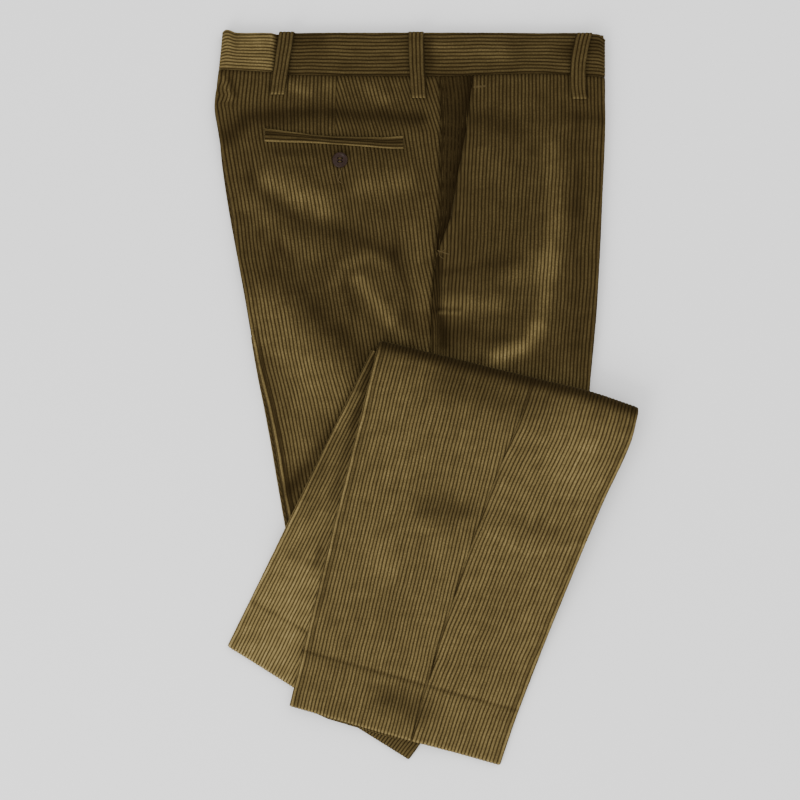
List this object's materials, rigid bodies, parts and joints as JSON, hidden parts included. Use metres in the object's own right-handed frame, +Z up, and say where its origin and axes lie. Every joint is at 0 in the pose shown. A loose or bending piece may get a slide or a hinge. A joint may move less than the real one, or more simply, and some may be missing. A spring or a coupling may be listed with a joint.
{
  "type": "folded corduroy trousers",
  "caption": "Corduroy trousers laid on their side and folded flat, waistband with belt loops at the top, welt pocket, both hems at the bottom",
  "frame": {"origin": "on the surface it lies on, under the middle of its outline", "axes": "+X across the waistband, +Y from the hems to the waistband, +Z up"},
  "size_m": [0.4225, 0.7352, 0.0284],
  "materials": {
    "corduroy": "olive brown wide-wale corduroy, soft nap with a dull sheen",
    "button": "dark brown mottled, polished",
    "thread": "sewing thread in the colour of the cloth"
  },
  "bodies": {
    "root": {"right_back_upper": "corduroy", "right_front_upper": "corduroy", "side_pocket_facing": "corduroy", "left_back_upper": "corduroy", "right_back_lower": "corduroy", "right_front_lower": "corduroy", "left_back_lower": "corduroy", "left_front_lower": "corduroy", "waistband": "corduroy", "belt_loop_back": "corduroy", "belt_loop_side": "corduroy", "belt_loop_front": "corduroy", "back_pocket_upper_welt": "corduroy", "back_pocket_lower_welt": "corduroy", "back_pocket_button": "button", "hidden_layers": "corduroy"}
  },
  "joints": []
}
